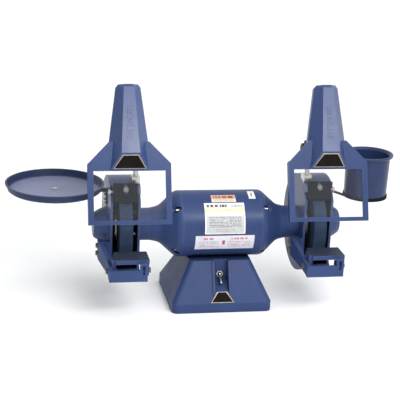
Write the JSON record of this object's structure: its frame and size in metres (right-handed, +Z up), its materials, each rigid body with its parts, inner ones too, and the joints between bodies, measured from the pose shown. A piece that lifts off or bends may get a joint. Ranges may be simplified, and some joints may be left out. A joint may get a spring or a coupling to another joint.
{
  "type": "bench grinder",
  "caption": "Twin-wheel bench grinder on a cast pyramid base, with lighted eye shields, tool rests, a tool tray and a water pot.",
  "frame": {"origin": "middle of the base's underside, at the centre of its bolt pattern", "axes": "+X along the arbor to the pot's end, the operator stands at -Y, +Z up"},
  "size_m": [0.994, 0.322, 0.5733],
  "materials": {
    "blue_enamel": "semi-gloss industrial blue enamel over castings and pressings",
    "black_enamel": "satin black enamel",
    "zinc_steel": "zinc plated fasteners and fittings",
    "bare_steel": "ground bare steel",
    "core_steel": "laminated electrical steel",
    "winding_copper": "varnished copper windings",
    "wheel_grit": "vitrified abrasive, dark blue-grey",
    "blotter_paper": "pressed paper",
    "window_plastic": "clear polycarbonate",
    "bulb_glass": "pearl glass",
    "black_plastic": "moulded black",
    "label_sheet": null,
    "capacitor_can": "plain drawn can",
    "inlet_rubber": "moulded rubber"
  },
  "bodies": {
    "root": {"base_casting": "blue_enamel", "bottom_plate": "black_enamel", "bottom_plate_screws": "zinc_steel", "cord_grommet": "inlet_rubber", "guard_and_bracket_screws": "zinc_steel", "left_bearing": "bare_steel", "left_end_bell": "blue_enamel", "left_guard_cover": "blue_enamel", "left_guard_housing": "blue_enamel", "left_rest_bracket": "blue_enamel", "left_shield_arm": "zinc_steel", "left_shield_clamp": "black_enamel", "motor_barrel": "blue_enamel", "motor_labels": "label_sheet", "motor_mount_bolts": "zinc_steel", "pot_holder": "black_enamel", "rating_plate": "label_sheet", "rest_bolts": "zinc_steel", "right_bearing": "bare_steel", "right_end_bell": "blue_enamel", "right_guard_cover": "blue_enamel", "right_guard_housing": "blue_enamel", "right_rest_bracket": "blue_enamel", "right_shield_arm": "zinc_steel", "right_shield_clamp": "black_enamel", "run_capacitor": "capacitor_can", "shield_pivot_bolts": "zinc_steel", "spark_guard_screws": "zinc_steel", "stator_core": "core_steel", "stator_windings": "winding_copper", "switch_body": "black_plastic", "switch_nut": "zinc_steel", "through_bolts": "zinc_steel", "tool_tray": "blue_enamel", "tray_bracket": "black_enamel"},
    "arbor": {"arbor_shaft": "bare_steel", "rotor_core": "core_steel", "left_wheel": "wheel_grit", "right_wheel": "wheel_grit", "wheel_flanges": "zinc_steel", "wheel_blotters": "blotter_paper", "arbor_nuts": "zinc_steel"},
    "switch_lever_body": {"switch_lever": "zinc_steel"},
    "pot": {"water_pot": "blue_enamel"},
    "left_shield": {"left_shield_frame": "blue_enamel", "left_lamp_hood": "blue_enamel", "left_shield_window": "window_plastic", "left_lamp_socket": "black_plastic", "left_lamp_bulb": "bulb_glass"},
    "left_knob": {"left_shield_knob": "black_plastic"},
    "left_table": {"left_rest_table": "blue_enamel"},
    "left_spark": {"left_spark_guard": "black_enamel"},
    "right_shield": {"right_shield_frame": "blue_enamel", "right_lamp_hood": "blue_enamel", "right_shield_window": "window_plastic", "right_lamp_socket": "black_plastic", "right_lamp_bulb": "bulb_glass"},
    "right_knob": {"right_shield_knob": "black_plastic"},
    "right_table": {"right_rest_table": "blue_enamel"},
    "right_spark": {"right_spark_guard": "black_enamel"}
  },
  "joints": [
    {"name": "arbor_spin", "type": "hinge", "parent": "root", "child": "arbor", "pos_m": [0, 0, 0.2], "axis": [1, 0, 0], "continuous": true},
    {"name": "switch_toggle", "type": "hinge", "parent": "root", "child": "switch_lever_body", "pos_m": [0, -0.064, 0.084], "axis": [1, 0, 0], "range_deg": [-70, 0]},
    {"name": "pot_lift", "type": "slide", "parent": "root", "child": "pot", "axis": [0, 0, 1], "range_m": [0, 0.12]},
    {"name": "left_shield_tilt", "type": "hinge", "parent": "root", "child": "left_shield", "pos_m": [-0.218, -0.057, 0.41], "axis": [1, 0, 0], "range_deg": [-40, 10]},
    {"name": "left_knob_turn", "type": "hinge", "parent": "root", "child": "left_knob", "pos_m": [-0.2, -0.057, 0.41], "axis": [1, 0, 0], "continuous": true},
    {"name": "left_rest_slide", "type": "slide", "parent": "root", "child": "left_table", "axis": [0, 1, 0], "range_m": [-0.012, 0.002]},
    {"name": "left_spark_slide", "type": "slide", "parent": "root", "child": "left_spark", "axis": [0, -0.427, -0.9042], "range_m": [-0.004, 0.006]},
    {"name": "right_shield_tilt", "type": "hinge", "parent": "root", "child": "right_shield", "pos_m": [0.218, -0.057, 0.41], "axis": [1, 0, 0], "range_deg": [-40, 10]},
    {"name": "right_knob_turn", "type": "hinge", "parent": "root", "child": "right_knob", "pos_m": [0.2, -0.057, 0.41], "axis": [1, 0, 0], "continuous": true},
    {"name": "right_rest_slide", "type": "slide", "parent": "root", "child": "right_table", "axis": [0, 1, 0], "range_m": [-0.012, 0.002]},
    {"name": "right_spark_slide", "type": "slide", "parent": "root", "child": "right_spark", "axis": [0, -0.427, -0.9042], "range_m": [-0.004, 0.006]}
  ]
}
